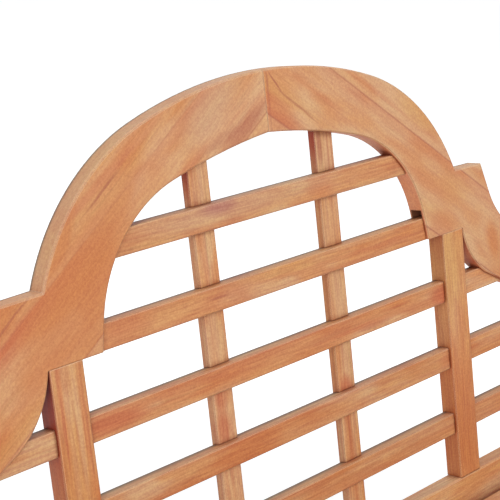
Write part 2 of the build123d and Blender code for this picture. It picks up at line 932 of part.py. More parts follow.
def front_slat_screws():
    y = front_rail_y + rail_thickness / 2
    return [
        Plane(origin=(side * x, y, seat_height), x_dir=(1, 0, 0), z_dir=(0, 0, 1))
        for side in (-1, 1)
        for x in (front_slat_inner_screw_x, front_slat_outer_screw_x)
    ]


def drill_screws(places):
    depth = plug_height + screw_length + end_gap
    for place in places:
        prism_below(
            place, screw_radius + fit_gap, shank_sides, 0, depth, Mode.SUBTRACT, True
        )


def sink_screws(places):
    """Screw hole and plug pocket in the top of a slat."""
    drill_screws(places)
    pocket = plug_height + screw_head_height
    for place in places:
        prism_below(
            place, plug_radius + fit_gap / 2, plug_sides, 0, pocket, Mode.SUBTRACT, True
        )


def front_seat_slat():
    with BuildPart() as slat:
        bar(
            Plane.XZ,
            (-leg_inner_x + front_slat_leg_gap, leg_inner_x - front_slat_leg_gap),
            (side_rail_front_top, seat_height),
            (front_slat_y, front_slat_y + front_slat_width),
        )
        long_edges = slat.edges().filter_by(Axis.X)
        fillet(long_edges.group_by(Axis.Y)[0], front_slat_nose_round)
        back_top = slat.edges().filter_by(Axis.X).group_by(Axis.Y)[-1].sort_by(Axis.Z)[-1]
        fillet(back_top, seat_slat_round)
        sink_screws(front_slat_screws())
    return finish(slat, "seat_slat_1")


def dished_seat_slat(index):
    under = dished_plane(index, -seat_slat_reach)
    with BuildPart() as slat:
        with BuildSketch(under) as section:
            with Locations((0, seat_slat_thickness / 2)):
                Rectangle(seat_slat_width, seat_slat_thickness)
            fillet(section.vertices().group_by(Axis.Y)[-1], seat_slat_round)
        extrude(amount=seat_slat_reach + seat_slat_reach)
        own = len(bearer_xs) * index
        sink_screws(slat_screws(bearer_xs)[own:own + len(bearer_xs)])
    return finish(slat, "seat_slat_" + str(index + 2))


# Rolled arms: slats on the facets of a scroll bracket at each end
roll_x = leg_outer_x + roll_offset
roll_z = arm_top_height - roll_radius
facet_distance = roll_radius - arm_slat_thickness
half_step = radians(arm_slat_step / 2)
corner_radius = facet_distance / cos(half_step)
scroll_foot_height = (front_leg_height - row_one_z) / recline_cosine
rear_scroll_y = back_point(scroll_foot_height, 0)[0] - rear_scroll_thickness


def roll_point(side, radius, angle):
    """A point of the scroll's head in front view; angles turn up from the outer side."""
    turn = radians(angle)
    return (side * (roll_x + radius * cos(turn)), roll_z + radius * sin(turn))


def bowed(start, end, bow):
    """A shallow arc between two points, its middle moved sideways."""
    ThreePointArc(start, ((start[0] + end[0]) / 2 + bow, (start[1] + end[1]) / 2), end)


def scroll(side, front, back, is_rear, name):
    """A scroll bracket: a neck that leans outwards into a faceted head for the arm slats."""
    corners = [
        arm_slat_low_angle + arm_slat_step * (step - 1 / 2) for step in range(arm_slat_count + 1)
    ]
    neck_turn = (scroll_neck_angle + corners[0]) / 2
    neck_outer = (side * leg_outer_x, front_leg_height)
    neck_inner = (side * leg_inner_x, front_leg_height)
    with BuildPart() as piece:
        with BuildSketch(Plane.XZ.offset(-front)):
            with BuildLine():
                Polyline(*[roll_point(side, corner_radius, angle) for angle in corners])
                ThreePointArc(
                    roll_point(side, corner_radius, scroll_neck_angle),
                    roll_point(side, corner_radius, neck_turn),
                    roll_point(side, corner_radius, corners[0]),
                )
                neck_top = roll_point(side, corner_radius, scroll_neck_angle)
                bowed(neck_outer, neck_top, -side * scroll_outer_bow)
                Line(neck_outer, neck_inner)
                last_corner = roll_point(side, corner_radius, corners[-1])
                bowed(neck_inner, last_corner, -side * scroll_inner_bow)
            make_face()
        extrude(amount=front - back)
        if is_rear:
            split(bisect_by=back_plane, keep=Keep.TOP)
            drill_dowels(arm_dowel_places(side), arm_dowel_radius, arm_dowel_length)
        else:
            bar(
                Plane.XZ,
                pair(side * leg_centre_x, scroll_tenon_width),
                (front_leg_height - scroll_tenon_length, front_leg_height),
                scroll_tenon_back,
            )
    return finish(piece, name)


def arm_slat(side, index, name):
    """One slat of a rolled arm: flat where it sits on the scrolls, round on the outside."""
    turn = radians(arm_slat_low_angle + arm_slat_step * index)
    section_plane = Plane(
        origin=(side * roll_x, front_y, roll_z),
        x_dir=(-side * sin(turn), 0, cos(turn)),
        z_dir=(0, side, 0),
    )
    inner_half = facet_distance * tan(half_step) - arm_slat_gap / 2
    outer_half = roll_radius * sin(half_step) - arm_slat_gap / 2
    shoulder = sqrt(roll_radius**2 - outer_half**2)
    with BuildPart() as slat:
        with BuildSketch(section_plane) as section:
            with BuildLine():
                Polyline(
                    (outer_half, shoulder),
                    (inner_half, facet_distance),
                    (-inner_half, facet_distance),
                    (-outer_half, shoulder),
                )
                ThreePointArc((-outer_half, shoulder), (0, roll_radius), (outer_half, shoulder))
            make_face()
            outer_corners = section.vertices().sort_by(Axis.Y)[2:]
            chamfer(outer_corners, arm_slat_ease)
        extrude(amount=side * overall_depth)
        split(bisect_by=back_plane, keep=Keep.TOP)
    return finish(slat, name)


def pegs():
    places = [
        place for side in (-1, 1) for place in front_leg_pegs(side) + rear_leg_pegs(side)
    ]
    with BuildPart() as group:
        for place in places:
            prism_below(place, peg_radius, peg_sides, 0, peg_length, Mode.ADD)
    return finish(group, "joint_pegs")


def plugs(places):
    with BuildPart() as group:
        for place in places:
            prism_below(place, plug_radius, plug_sides, 0, plug_height, Mode.ADD)
    return finish(group, "seat_plugs")


def screws(places):
    """Countersunk screws with a plain shank, standing under their plugs."""
    head_low = plug_height + screw_head_height
    shank_length = screw_length - screw_head_height
    with BuildPart() as group:
        for place in places:
            with BuildSketch(place.offset(-plug_height)) as head:
                RegularPolygon(screw_head_radius, shank_sides)
            with BuildSketch(place.offset(-head_low)) as neck:
                RegularPolygon(screw_radius, shank_sides)
            loft([head.sketch, neck.sketch], ruled=True)
            prism_below(place, screw_radius, shank_sides, head_low, shank_length, Mode.ADD)
    return finish(group, "seat_screws")


def dowels(places, radius, length, name):
    with BuildPart() as group:
        for place in places:
            prism_below(place, radius, peg_sides, -length / 2, length, Mode.ADD)
    return finish(group, name)


# The whole bench, piece by piece
side_names = {-1: "left", 1: "right"}
row_names = {3: "upper", 4: "middle", 5: "lower"}
all_screws = front_slat_screws() + slat_screws(bearer_xs)

arch_slat(1, "arch_slat_upper")
arch_slat(2, "arch_slat_lower")
for row, word in row_names.items():
    lattice_slat(row, "lattice_slat_" + word)
back_rail()
centre_bearer()
long_seat_rail(
    "front_seat_rail",
    front_rail_y,
    front_rail_low,
    front_rail_top,
    front_tenon_back,
    bearer_front_middle,
    front_rail_back_y,
    -1,
)
long_seat_rail(
    "rear_seat_rail",
    rear_rail_y,
    rear_rail_low,
    rear_rail_top,
    rear_tenon_back,
    bearer_back_middle,
    rear_rail_y,
    1,
)
front_seat_slat()
for index in range(dished_count):
    dished_seat_slat(index)
for side, word in side_names.items():
    crest_half(side, "crest_" + word)
    stile(side, "stile_" + word)
    upright(side * arch_upright_x, (1, 2, 3, 4, 5), "arch_upright_" + word)
    upright(side * outer_upright_x, (4, 5), "outer_upright_" + word)
    for row, row_word in row_names.items():
        side_slat(side, row, "side_slat_" + word + "_" + row_word)
    rear_leg(side, "rear_leg_" + word)
    front_leg(side, "front_leg_" + word)
    side_seat_rail(side, "side_seat_rail_" + word)
    side_stretcher(side, "side_stretcher_" + word)
    scroll(
        side,
        front_y + arm_overhang,
        front_y + arm_overhang + scroll_thickness,
        False,
        "arm_scroll_front_" + word,
    )
    scroll(side, rear_scroll_y, overall_depth / 2, True, "arm_scroll_rear_" + word)
    for index in range(arm_slat_count):
        arm_slat(side, index, "arm_slat_" + word + "_" + str(index + 1))
pegs()
plugs(all_screws)
screws(all_screws)
dowels([*seam_dowel_places()], seam_dowel_radius, seam_dowel_length, "crest_dowels")
dowels(
    [*arm_dowel_places(-1), *arm_dowel_places(1)], arm_dowel_radius, arm_dowel_length, "arm_dowels"
)
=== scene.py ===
import random
from math import cos, radians, sin

import bpy
from mathutils import Matrix, Vector


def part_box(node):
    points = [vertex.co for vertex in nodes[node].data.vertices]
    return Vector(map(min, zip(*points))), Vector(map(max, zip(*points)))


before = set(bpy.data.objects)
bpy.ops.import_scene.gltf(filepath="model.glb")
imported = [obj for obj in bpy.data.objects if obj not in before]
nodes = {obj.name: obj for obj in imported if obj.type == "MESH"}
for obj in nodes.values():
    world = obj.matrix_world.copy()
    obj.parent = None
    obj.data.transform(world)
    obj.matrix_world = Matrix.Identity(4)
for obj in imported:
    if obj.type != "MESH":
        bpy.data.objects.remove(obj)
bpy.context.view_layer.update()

# Camera: the photograph's viewpoint, turn in degrees, lens and sensor in millimetres
camera_place = (-1.1514, -0.8193, 1.4137)
camera_turn = (70.262, -1.803, -45.257)
camera_lens = 100.19
camera_sensor = 36.0
camera_reach = 100.0

# Soft lamps, which point at the middle of the bench: place, size, power, colour
bench_middle = Vector((0.0, 0.0, 0.7))
lamps = {
    "key_light": ((2.6, -3.2, 3.4), 2.0, 92.0, (1.0, 0.98, 0.95)),
    "fill_light": ((-3.6, -2.2, 2.2), 3.0, 114.0, (1.0, 1.0, 1.0)),
    "top_light": ((0.0, 0.8, 4.2), 3.0, 50.0, (0.94, 0.97, 1.0)),
}
sky_colour = (0.93, 0.96, 1.0, 1)
sky_strength = 0.28

# Floor: its glow for the camera grows away from the bench, where no shadow falls
floor_half_width = 12.0
floor_top = -0.0005
floor_greys = ((0.3, 0.80), (0.7, 0.83))
floor_glow = 0.42
floor_extra_glow = 0.32
floor_glow_distances = (0.9, 1.9)

# Directions of the bench
recline = radians(11.0)
across_bench = Vector((1, 0, 0))
backwards = Vector((0, 1, 0))
upwards = Vector((0, 0, 1))
up_the_back = Vector((0, sin(recline), cos(recline)))
through_the_back = Vector((0, cos(recline), -sin(recline)))

# Back faces: their distance along that last direction, and the width of painted shade before them
slat_back = (0.0985, 0.010)
crest_back = (0.1020, 0.007)
full_back_shade_share = 0.2

# Colours of teak, as linear values
pale_teak = (0.690, 0.400, 0.210, 1)
honey_teak = (0.645, 0.290, 0.120, 1)
warm_teak = (0.600, 0.210, 0.070, 1)
red_teak = (0.550, 0.148, 0.062, 1)
straw_teak = (0.655, 0.330, 0.112, 1)
grey_teak = (0.620, 0.370, 0.220, 1)
# Painted sheen: the paler, greyer colour of faces that point up
top_sheen_teak = (0.650, 0.400, 0.240, 1)
dark_teak = (0.240, 0.075, 0.035, 1)
knot_teak = (0.400, 0.105, 0.060, 1)
# Painted highlight: the colour of edges turned to the light
edge_highlight_teak = (0.900, 0.620, 0.420, 1)
mauve_stain = (0.440, 0.165, 0.125, 1)
# Painted light: side-face shade with a stain, underside shade, edge shade, shade at the back of
# tops
side_oil_and_shade = (0.520, 0.160, 0.140, 1)
under_shade_red = (0.800, 0.260, 0.130, 1)
edge_shade_tint = (0.560, 0.540, 0.580, 1)
back_edge_shade = (0.320, 0.400, 0.500, 1)
white = (1, 1, 1, 1)

# Steel of the screws: its colours, its roughness and what scratches add to it
steel_colours = ((0.3, (0.50, 0.49, 0.47, 1)), (0.7, (0.68, 0.67, 0.65, 1)))
steel_roughness = 0.22
scratch_roughness = 0.25

# Noises: waves per metre (of a board: along, across and through it), detail, roughness
noises = {
    "wander": ((1.7, 5.0, 5.0), 2.0, 0.55),
    "wobble": ((6.0, 34.0, 34.0), 3.0, 0.55),
    "patch": ((5.0, 17.0, 17.0), 2.0, 0.5),
    "blotch": ((12.0, 40.0, 40.0), 2.0, 0.5),
    "hue": ((3.0, 46.0, 46.0), 2.0, 0.5),
    "streak": ((2.0, 62.0, 62.0), 2.0, 0.5),
    "vein": ((3.0, 260.0, 260.0), 2.0, 0.5),
    "strand": ((15.0, 330.0, 330.0), 3.0, 0.6),
    "fibre": ((22.0, 620.0, 620.0), 4.0, 0.7),
    "pore": ((70.0, 1300.0, 1300.0), 2.0, 0.5),
    "fleck": ((380.0, 380.0, 380.0), 4.0, 0.7),
    "crest_wave": ((7.0, 16.0, 0.0), 2.0, 0.55),
    "scratch": ((900.0, 900.0, 120.0), 4.0, 0.55),
    "mottle": ((1.0, 1.0, 1.0), 4.0, 0.55),
}

# Growth rings: how far noise shifts them, their rise to late wood, and the part of it
# that every year has and that varies from year to year
wander_reach = 0.030
wobble_reach = 0.0035
ring_profile = ((0.0, 0.35), (0.10, 0.0), (0.70, 0.30), (0.93, 1.0), (1.0, 0.35))
least_year = 0.25
year_variety = 0.75

# Base colour: weights of what makes it warmer, its middle, and the colours from cold to warm
patch_weight = 1.15
blotch_weight = 0.45
warmth_weight = 0.30
middle_tone = 0.46
base_colours = ((0.28, pale_teak), (0.46, honey_teak), (0.66, warm_teak))

# Tints laid over it in turn: noise, its value at none and at full, strength, colour,
# and whether the board's streaks scale it
late_wood_strength = 0.34
tints = (
    ("hue", 0.52, 0.68, 0.42, red_teak, False),
    ("hue", 0.48, 0.32, 0.40, straw_teak, False),
    ("vein", 0.56, 0.68, 0.22, dark_teak, True),
    ("streak", 0.50, 0.70, 0.34, red_teak, True),
    ("streak", 0.46, 0.30, 0.35, pale_teak, False),
)
pore_values = (0.60, 0.70)
pore_strength = 0.25

# Fine light and dark, which multiply the colour
strand_tints = ((0.28, (0.90, 0.80, 0.83, 1)), (0.72, (1.07, 1.18, 1.15, 1)))
fibre_tints = ((0.25, (0.93, 0.87, 0.88, 1)), (0.75, (1.04, 1.10, 1.09, 1)))
fleck_tints = ((0.25, (0.89, 0.80, 0.81, 1)), (0.75, (1.08, 1.17, 1.15, 1)))

# Surface: roughness, and the height of fibres, pores and late wood
middle_roughness = 0.46
fibre_roughness = 0.16
late_roughness = -0.06
fibre_height = 0.5
pore_height = -0.5
late_height = 0.25
relief_strength = 0.35
relief_depth = 0.0004
wood_gloss = 0.35

# Spans from which each board draws its own cut of the log
grain_leans = (0.01, 0.04)
log_places = (2.0, 9.0)
pith_sideways = (-0.05, 0.05)
pith_depths = (0.05, 0.11)
ring_width_factors = (0.8, 1.25)
streak_factors = (0.75, 1.25)
brightnesses = (0.94, 1.06)
warmths = (-0.16, 0.16)

# Where a stain or a painted light or shade sets in and where it is full. A slope is the
# upward part of the normal, a turn its cosine with another direction, and a lean how far the
# soft edge's normal departs from the face's towards the lit side.
top_sheen_slopes = (0.22, 0.42)
back_shade_slopes = (-0.05, 0.30)
under_shade_slopes = (0.12, -0.02)
edgewise_turns = (0.6, 0.3)
sideways_turns = (0.55, 0.85)
edge_turns = (0.999, 0.93)
edge_highlight_leans = (-0.08, 0.12)
edge_shade_leans = (-0.02, -0.16)

# Edges: soft radius, painted highlight on those that point to the lit side, painted shade on the
# opposite ones
edge_radius = 0.0022
bevel_samples = 4
edge_highlight_strength = 0.65
edge_shade_strength = 0.9
edge_light_side = (-0.45, -0.45, 0.77)

# Corners: reach of the narrow and of the wide painted shade, and their tints from shut to open
corner_samples = 6
corner_shades = (
    (0.010, ((0.35, (0.66, 0.56, 0.52, 1)), (0.80, 1.0))),
    (0.045, ((0.35, (0.66, 0.47, 0.42, 1)), (0.80, 1.0))),
)

# Red stain and painted shade on faces that point along the bench: strength, heights where it sets
# in and is full
side_stains_and_shades = {
    "stile_left": (1.0, 0.60, 0.77),
    "stile_right": (0.65, 0.72, 0.83),
    "upright": (1.0, 0.90, 0.97),
}
least_side_stain_and_shade = 0.24
extra_shade_under_crest = 0.76

# Crest: on both halves the grain falls outwards, over boards glued side by side.
# Places on it are distances out from the middle and up the slope of the back.
crest_grain_angle = radians(35.0)
crest_grain_lean = 0.07
crest_log_places = (2.0, 7.0)
crest_log_step = 0.61
crest_pith_drop = 0.04
crest_pith_depth = 0.075
crest_ring_width = 0.0085
crest_spread = 0.6
crest_grain = 0.45
crest_wave_reach = 0.016
# Painted sheen on the crest's top faces, and a redder painted shade on its undersides
crest_top_sheen = 0.45
crest_under_shade_tint = 0.60

# Its glue joints: out, up, strength of the line, red below it, painted highlight above it, light
# below it
crest_joints = {
    "crest_left": (
        (0.382, 0.892, 0.15, 0.25, 0.10, 0.00),
        (0.278, 0.856, 0.35, 0.00, 0.00, 0.45),
    ),
    "crest_right": (
        (0.240, 1.000, 0.50, 0.35, 0.50, 0.00),
        (0.278, 0.854, 0.60, 0.00, 0.00, 0.30),
    ),
}
joint_red_heights = (-0.030, -0.001)
joint_highlight_heights = (0.013, 0.003)
joint_line_heights = (0.0018, 0.0005)

# Warmth and streaks of each half, and the lit side for the painted highlight and shade of its
# edges
crest_looks = {
    "crest_left": (0.0, 0.65, edge_light_side),
    "crest_right": (-0.38, 0.40, (-0.80, -0.20, 0.10)),
}

# Marks in the wood, on the front of the back: out, up, half length, half width,
# lean off the grain in degrees, colour, strength. Out is to the right on pieces without a side.
wood_marks = {
    "crest_left": (
        (0.275, 1.004, 0.150, 0.008, 5.0, red_teak, 0.45),
        (0.172, 1.043, 0.050, 0.020, 0.0, pale_teak, 0.70),
        (0.261, 1.003, 0.048, 0.0026, 1.5, knot_teak, 0.65),
        (0.400, 0.876, 0.120, 0.007, 2.0, red_teak, 0.80),
        (0.405, 0.868, 0.100, 0.016, 2.0, red_teak, 0.55),
        (0.410, 0.905, 0.090, 0.020, 0.0, warm_teak, 0.75),
        (0.400, 0.893, 0.060, 0.0024, 1.0, knot_teak, 0.60),
        (0.240, 1.048, 0.090, 0.012, 3.0, straw_teak, 0.60),
        (0.095, 1.066, 0.080, 0.040, 0.0, grey_teak, 0.70),
        (0.196, 0.990, 0.080, 0.022, 0.0, honey_teak, 0.65),
        (0.040, 1.036, 0.060, 0.014, 4.0, knot_teak, 0.50),
        (0.080, 1.026, 0.050, 0.010, 15.0, knot_teak, 0.40),
        # Dark seam line at the middle: a dark joint with a painted shadow in it
        (0.000, 1.064, 0.090, 0.0035, 125.0, knot_teak, 0.65),
        (0.325, 0.955, 0.060, 0.011, -21.0, warm_teak, 0.65),
        (0.300, 0.930, 0.120, 0.040, 0.0, warm_teak, 0.50),
        (0.330, 0.870, 0.140, 0.070, 0.0, warm_teak, 0.75),
    ),
    "crest_right": (
        # Dark seam line at the middle: a dark joint with a painted shadow in it
        (0.000, 1.064, 0.090, 0.0030, 125.0, knot_teak, 0.50),
        (0.013, 1.086, 0.026, 0.0022, -20.0, knot_teak, 0.75),
        (0.047, 1.052, 0.056, 0.0022, -3.5, knot_teak, 0.55),
        (0.015, 1.050, 0.060, 0.020, 0.0, red_teak, 0.40),
        (0.270, 1.010, 0.060, 0.018, 0.0, straw_teak, 0.60),
        (0.310, 0.905, 0.110, 0.030, 0.0, honey_teak, 0.60),
        (0.308, 0.850, 0.050, 0.022, 0.0, red_teak, 0.40),
        (0.335, 0.890, 0.050, 0.030, 0.0, straw_teak, 0.25),
        (0.231, 0.969, 0.060, 0.013, 0.0, warm_teak, 0.55),
        (0.296, 0.936, 0.045, 0.016, 0.0, pale_teak, 0.50),
        (0.324, 0.856, 0.045, 0.018, 0.0, warm_teak, 0.45),
        (0.375, 0.849, 0.040, 0.018, 0.0, honey_teak, 0.75),
        (0.414, 0.805, 0.056, 0.030, -42.0, pale_teak, 0.85),
        (0.416, 0.805, 0.047, 0.023, -42.0, honey_teak, 0.95),
        (0.420, 0.803, 0.040, 0.017, -42.0, warm_teak, 0.70),
    ),
    "arch_slat_upper": (
        (-0.080, 0.950, 0.200, 0.024, 0.0, grey_teak, 0.60),
        (-0.086, 0.955, 0.042, 0.014, 0.0, mauve_stain, 0.80),
        (0.088, 0.949, 0.040, 0.020, 0.0, red_teak, 0.35),
    ),
    "arch_slat_lower": (
        (-0.220, 0.846, 0.080, 0.020, 0.0, honey_teak, 0.70),
        (-0.250, 0.856, 0.060, 0.022, 0.0, red_teak, 0.55),
        (-0.088, 0.848, 0.070, 0.020, 0.0, red_teak, 0.40),
        (-0.106, 0.851, 0.026, 0.0022, -1.0, knot_teak, 0.65),
        (-0.055, 0.864, 0.055, 0.0020, -2.0, knot_teak, 0.60),
    ),
    "lattice_slat_upper": (
        (-0.280, 0.756, 0.070, 0.018, 0.0, red_teak, 0.80),
        (0.305, 0.752, 0.040, 0.022, 0.0, red_teak, 0.90),
        (0.000, 0.755, 0.120, 0.014, 0.0, honey_teak, 0.60),
    ),
    "lattice_slat_middle": ((0.310, 0.660, 0.030, 0.020, 0.0, red_teak, 0.50),),
    "arch_upright_left": (
        (0.116, 0.945, 0.040, 0.004, 0.0, knot_teak, 0.55),
        (0.109, 0.800, 0.060, 0.022, 0.0, pale_teak, 0.55),
        (0.109, 0.728, 0.022, 0.016, 0.0, red_teak, 0.60),
        (0.112, 0.690, 0.030, 0.018, 0.0, red_teak, 0.60),
    ),
    "arch_upright_right": (
        (0.098, 0.990, 0.034, 0.007, 0.0, knot_teak, 0.65),
        (0.106, 0.895, 0.045, 0.020, 0.0, pale_teak, 0.45),
        (0.106, 0.795, 0.060, 0.020, 0.0, pale_teak, 0.60),
        (0.106, 0.678, 0.022, 0.018, 0.0, red_teak, 0.75),
    ),
    "stile_left": (
        (0.345, 0.800, 0.120, 0.005, 0.0, red_teak, 0.55),
        (0.326, 0.770, 0.100, 0.006, 0.0, pale_teak, 0.60),
        (0.318, 0.760, 0.090, 0.005, 0.0, red_teak, 0.40),
    ),
    "stile_right": (
        (0.322, 0.800, 0.090, 0.040, 0.0, straw_teak, 0.70),
        (0.328, 0.560, 0.150, 0.050, 0.0, warm_teak, 1.00),
    ),
}
mark_softness = 0.75

# Boards that stand out from the rest: brightness and warmth
board_looks = {
    "stile_right": (1.03, 0.35),
    "stile_left": (1.00, 0.35),
    "arch_upright_left": (1.03, -0.55),
    "arch_upright_right": (1.01, -0.55),
    "side_slat_right_upper": (1.05, -0.40),
    "side_slat_right_middle": (1.00, 0.45),
    "side_slat_right_lower": (0.99, 0.30),
    "arch_slat_upper": (0.99, -0.10),
    "arch_slat_lower": (1.00, 0.08),
    "lattice_slat_upper": (1.01, 0.00),
    "lattice_slat_middle": (0.98, 0.12),
    "lattice_slat_lower": (0.98, 0.12),
    "seat_plugs": (0.85, 0.25),
    "joint_pegs": (0.85, 0.25),
}
back_slats = ("arch_slat", "lattice_slat", "side_slat")

# How pieces are cut: start of the name, direction of the grain, direction across it,
# and other settings of wood(). The last line is for all that the others leave.
cuts = (
    (("seat_plugs", "joint_pegs"), upwards, across_bench, {"ring_width": 0.004}),
    (("crest_dowels", "arm_dowels"), across_bench, upwards, {}),
    ("stile", up_the_back, across_bench, {"streaks": 0.3, "spread": 0.5}),
    (
        ("arch_upright", "outer_upright"),
        up_the_back,
        across_bench,
        {"streaks": 0.9, "spread": 1.7},
    ),
    (("rear_leg", "front_leg", "arm_scroll"), upwards, across_bench, {}),
    (
        ("side_seat_rail", "side_stretcher", "centre_bearer", "arm_slat"),
        backwards,
        upwards,
        {},
    ),
    ((*back_slats, "back_rail"), across_bench, up_the_back, {}),
    ("", across_bench, backwards, {}),
)


class Tree:
    """Short hand for building a node tree."""

    def __init__(self, tree):
        self.tree = tree
        tree.nodes.clear()

    def node(self, kind, **settings):
        made = self.tree.nodes.new(kind)
        for name, value in settings.items():
            setattr(made, name, value)
        return made

    def join(self, source, target):
        self.tree.links.new(source, target)

    def fill(self, socket, value):
        if isinstance(value, bpy.types.NodeSocket):
            self.join(value, socket)
        else:
            socket.default_value = value

    def result(self, kind, values, output=0, **settings):
        """One output of a new node whose first sockets hold the values."""
        made = self.node(kind, **settings)
        for socket, value in zip(made.inputs, values):
            self.fill(socket, value)
        return made.outputs[output]

    def math(self, operation, *values):
        return self.result("ShaderNodeMath", values, operation=operation)

    def times(self, *values):
        return self.math("MULTIPLY", *values)

    def vector(self, operation, *values):
        return self.result("ShaderNodeVectorMath", values, operation=operation)

    def measure(self, operation, *values):
        """The number that a sum with vectors gives, such as a dot product."""
        return self.result("ShaderNodeVectorMath", values, "Value", operation=operation)

    def parts(self, vector):
        """The three numbers of a vector."""
        made = self.node("ShaderNodeSeparateXYZ")
        self.join(vector, made.inputs[0])
        return made.outputs

    def total(self, start, *terms):
        """The start and each value times its weight, added up."""
        for value, weight in terms:
            start = self.math("ADD", start, self.times(value, weight))
        return start

    def centred(self, noise):
        """The noise, with its middle at 0."""
        return self.math("SUBTRACT", noise, 0.5)

    def noise(self, place, name):
        """The named noise at the place, from 0 to 1."""
        waves, detail, roughness = noises[name]
        made = self.node("ShaderNodeTexNoise")
        self.join(self.vector("MULTIPLY", place, waves), made.inputs["Vector"])
        made.inputs["Scale"].default_value = 1.0
        made.inputs["Detail"].default_value = detail
        made.inputs["Roughness"].default_value = roughness
        return made.outputs[0]

    def ramp(self, factor, stops):
        made = self.node("ShaderNodeValToRGB")
        made.color_ramp.interpolation = "EASE"
        elements = made.color_ramp.elements
        while len(elements) < len(stops):
            elements.new(0.5)
        for element, (place, colour) in zip(elements, stops):
            element.position = place
            element.color = colour if isinstance(colour, tuple) else (colour, colour, colour, 1)
        self.join(factor, made.inputs[0])
        return made.outputs[0]

    def mask(self, factor, none, full):
        """Smooth change from 0 at none to 1 at full, which may be below it."""
        return self.ramp(factor, sorted(((none, 0.0), (full, 1.0))))

    def fade(self, value, start, stop):
        """Like mask, for values that may be negative."""
        made = self.node("ShaderNodeMapRange", interpolation_type="SMOOTHSTEP")
        self.join(value, made.inputs["Value"])
        made.inputs["From Min"].default_value = start
        made.inputs["From Max"].default_value = stop
        return made.outputs["Result"]

    def spot(self, place, centre, size, turn):
        """Soft oval: 1 at its centre, 0 at its rim."""
        oval = self.node("ShaderNodeMapping", vector_type="TEXTURE")
        oval.inputs["Location"].default_value = (*centre, 0)
        oval.inputs["Rotation"].default_value = (0, 0, turn)
        oval.inputs["Scale"].default_value = (*size, 1)
        self.join(place, oval.inputs["Vector"])
        made = self.node("ShaderNodeTexGradient", gradient_type="SPHERICAL")
        self.join(oval.outputs[0], made.inputs[0])
        return made.outputs["Fac"]

    def mix(self, blend, factor, first, second):
        made = self.node("ShaderNodeMix", data_type="RGBA", blend_type=blend)
        self.fill(made.inputs[0], factor)
        self.fill(made.inputs[6], first)
        self.fill(made.inputs[7], second)
        return made.outputs[2]

    def tint(self, colour, mask, strength, other, blend="MIX"):
        """The colour, changed to the other one where the mask says so."""
        return self.mix(blend, self.times(mask, strength), colour, other)

    def shade(self, colour, other):
        """The colour, multiplied by the other one."""
        return self.mix("MULTIPLY", 1.0, colour, other)


def side_of(name):
    """-1 for pieces on the left, 1 for the rest."""
    return -1 if "left" in name else 1


def new_material(name):
    """A material, and its empty node tree."""
    material = bpy.data.materials.new(name)
    material.use_nodes = True
    return material, Tree(material.node_tree)


def wood_group():
    """Node group that turns a board's own coordinates in metres into the looks of teak."""
    group = bpy.data.node_groups.new("teak_wood", "ShaderNodeTree")
    face = group.interface
    face.new_socket("Place", in_out="INPUT", socket_type="NodeSocketVector")
    for name in ("Pith across", "Pith deep", "Ring width", "Streaks", "Warmth", "Spread", "Grain"):
        face.new_socket(name, in_out="INPUT", socket_type="NodeSocketFloat")
    for name, kind in (
        ("Colour", "NodeSocketColor"),
        ("Fibres", "NodeSocketColor"),
        ("Roughness", "NodeSocketFloat"),
        ("Height", "NodeSocketFloat"),
    ):
        face.new_socket(name, in_out="OUTPUT", socket_type=kind)
    t = Tree(group)
    ends = t.node("NodeGroupInput").outputs
    place = ends["Place"]

    # Distance from the pith, with the slow wander of the log along its length
    _, y, z = t.parts(place)
    across = t.math("SUBTRACT", y, ends["Pith across"])
    deep = t.math("SUBTRACT", z, ends["Pith deep"])
    squares = t.math("ADD", t.times(across, across), t.times(deep, deep))
    radius = t.total(
        t.math("SQRT", squares),
        (t.centred(t.noise(place, "wander")), wander_reach),
        (t.centred(t.noise(place, "wobble")), wobble_reach),
    )

    # Growth rings: slow rise to late wood, quick fall after it, stronger in some years
    turns = t.math("DIVIDE", radius, ends["Ring width"])
    year = t.node("ShaderNodeTexWhiteNoise", noise_dimensions="1D")
    t.join(t.math("FLOOR", turns), year.inputs["W"])
    strength = t.total(least_year, (year.outputs[0], year_variety))
    late = t.times(t.ramp(t.math("FRACT", turns), ring_profile), strength)

    # Broad patches and bands of hue are narrower on a board with a greater spread
    bands = t.node("ShaderNodeCombineXYZ")
    bands.inputs[0].default_value = 1.0
    t.join(ends["Spread"], bands.inputs[1])
    t.join(ends["Spread"], bands.inputs[2])
    spread = t.vector("MULTIPLY", place, bands.outputs[0])
    found = {name: t.noise(spread, name) for name in ("patch", "blotch", "hue", "streak")}
    for name in ("vein", "strand", "fibre", "pore"):
        found[name] = t.noise(place, name)

    tone = t.total(
        middle_tone,
        (t.centred(found["patch"]), patch_weight),
        (t.centred(found["blotch"]), blotch_weight),
        (ends["Warmth"], warmth_weight),
    )
    late_streaks = t.times(late, ends["Streaks"])
    base = t.ramp(tone, base_colours)
    colour = t.tint(base, late_streaks, late_wood_strength, warm_teak)
    for name, none, full, strength, other, follows_streaks in tints:
        mask = t.mask(found[name], none, full)
        if follows_streaks:
            mask = t.times(mask, ends["Streaks"])
        colour = t.tint(colour, mask, strength, other)
    pores = t.mask(found["pore"], *pore_values)
    colour = t.tint(colour, pores, t.times(ends["Grain"], pore_strength), dark_teak)

    strand_tint = t.ramp(found["strand"], strand_tints)
    fibre_tint = t.ramp(found["fibre"], fibre_tints)
    fibres = t.mix("MIX", ends["Grain"], white, t.shade(strand_tint, fibre_tint))
    roughness = t.total(
        middle_roughness, (found["fibre"], fibre_roughness), (late, late_roughness)
    )
    height = t.total(
        0.0, (found["fibre"], fibre_height), (pores, pore_height), (late, late_height)
    )
    out = t.node("NodeGroupOutput")
    t.join(colour, out.inputs["Colour"])
    t.join(fibres, out.inputs["Fibres"])
    t.join(roughness, out.inputs["Roughness"])
    t.join(height, out.inputs["Height"])
    return group


teak_group = wood_group()


